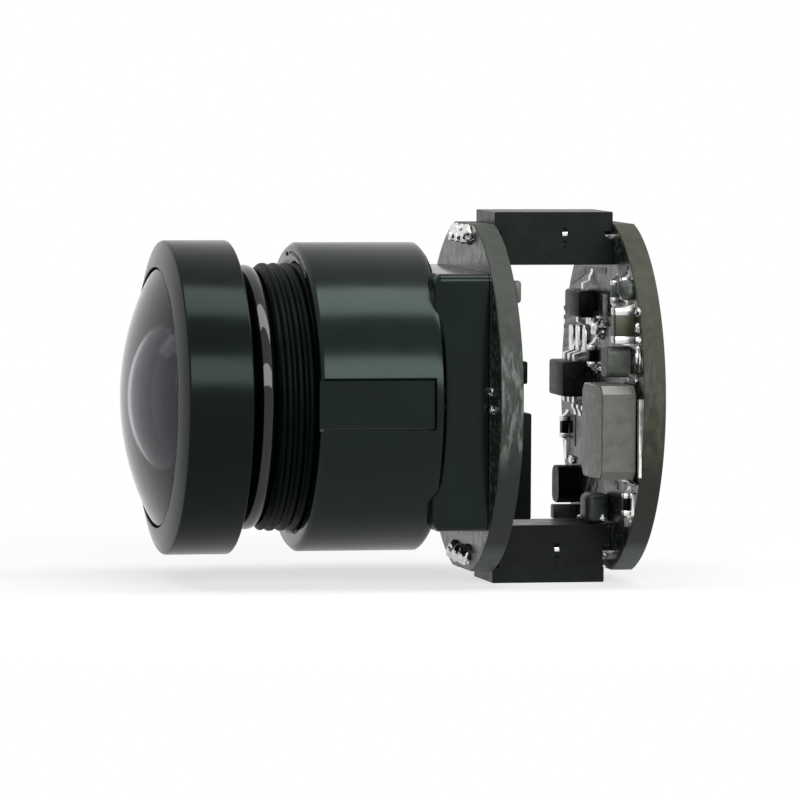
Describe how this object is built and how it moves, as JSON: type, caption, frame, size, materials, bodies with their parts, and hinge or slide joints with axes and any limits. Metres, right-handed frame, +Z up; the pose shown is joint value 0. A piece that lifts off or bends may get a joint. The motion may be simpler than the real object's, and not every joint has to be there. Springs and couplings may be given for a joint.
{
  "type": "underwater camera module",
  "caption": "Wide-angle lens with a black bevelled head, screwed into a slotted round holder with a square base, on round boards carried apart by pin headers.",
  "frame": {"origin": "on the lens axis, at the middle of the lens head's outer wall", "axes": "+X along the lens axis from the lens to the rear board, so the lens looks towards -X; +Z up, towards the upper pin header"},
  "size_m": [0.0238, 0.016, 0.0166],
  "materials": {
    "black_anodised": "satin black anodised",
    "lens_glass": "polished, coated",
    "inner_glass": "polished, coated",
    "filter_glass": "polished",
    "black_rubber": "glossy",
    "matte_black_metal": "matt black",
    "holder_plastic": "satin moulded, glass filled",
    "black_adhesive": "cured, glossy",
    "board_laminate": "glass-epoxy laminate, dark solder mask",
    "header_plastic": "moulded, satin",
    "tinned_metal": "tinned",
    "gold_contact": "gold plated",
    "chip_black": "moulded epoxy",
    "inductor_body": "pressed ferrite, satin",
    "capacitor_brown": "fired ceramic",
    "capacitor_grey": "fired ceramic",
    "sensor_package": "silicon under glass",
    "crystal_can": "stamped lid"
  },
  "bodies": {
    "root": {"front_cap": "black_anodised", "lens_barrel": "black_anodised", "front_element": "lens_glass", "front_seal_ring": "black_rubber", "neck_o_ring": "black_rubber", "second_element": "inner_glass", "third_element": "inner_glass", "doublet_front_element": "inner_glass", "doublet_rear_element": "inner_glass", "rear_element": "inner_glass", "front_spacer": "matte_black_metal", "middle_spacer": "matte_black_metal", "stop_spacer": "matte_black_metal", "rear_spacer": "matte_black_metal", "aperture_stop": "matte_black_metal", "lens_holder": "holder_plastic", "thread_lock_adhesive": "black_adhesive", "holder_bond": "black_adhesive", "ir_cut_filter": "filter_glass", "image_sensor": "sensor_package", "sensor_cover_glass": "inner_glass", "sensor_board": "board_laminate", "main_board": "board_laminate", "upper_header_body": "header_plastic", "lower_header_body": "header_plastic", "upper_header_pins": "gold_contact", "lower_header_pins": "gold_contact", "header_solder_joints": "tinned_metal", "memory_chip": "chip_black", "sensor_board_capacitors": "capacitor_grey", "power_inductor": "inductor_body", "regulator_body": "chip_black", "regulator_leads": "tinned_metal", "transistor_body": "chip_black", "transistor_leads": "tinned_metal", "signal_inductor": "chip_black", "bulk_capacitor": "chip_black", "rim_capacitor": "capacitor_brown", "filter_capacitor": "capacitor_grey", "diode": "capacitor_grey", "chip_resistors": "chip_black", "image_processor": "chip_black", "crystal": "crystal_can", "rear_capacitors": "capacitor_brown", "output_connector": "header_plastic", "output_contacts": "gold_contact"}
  },
  "joints": []
}
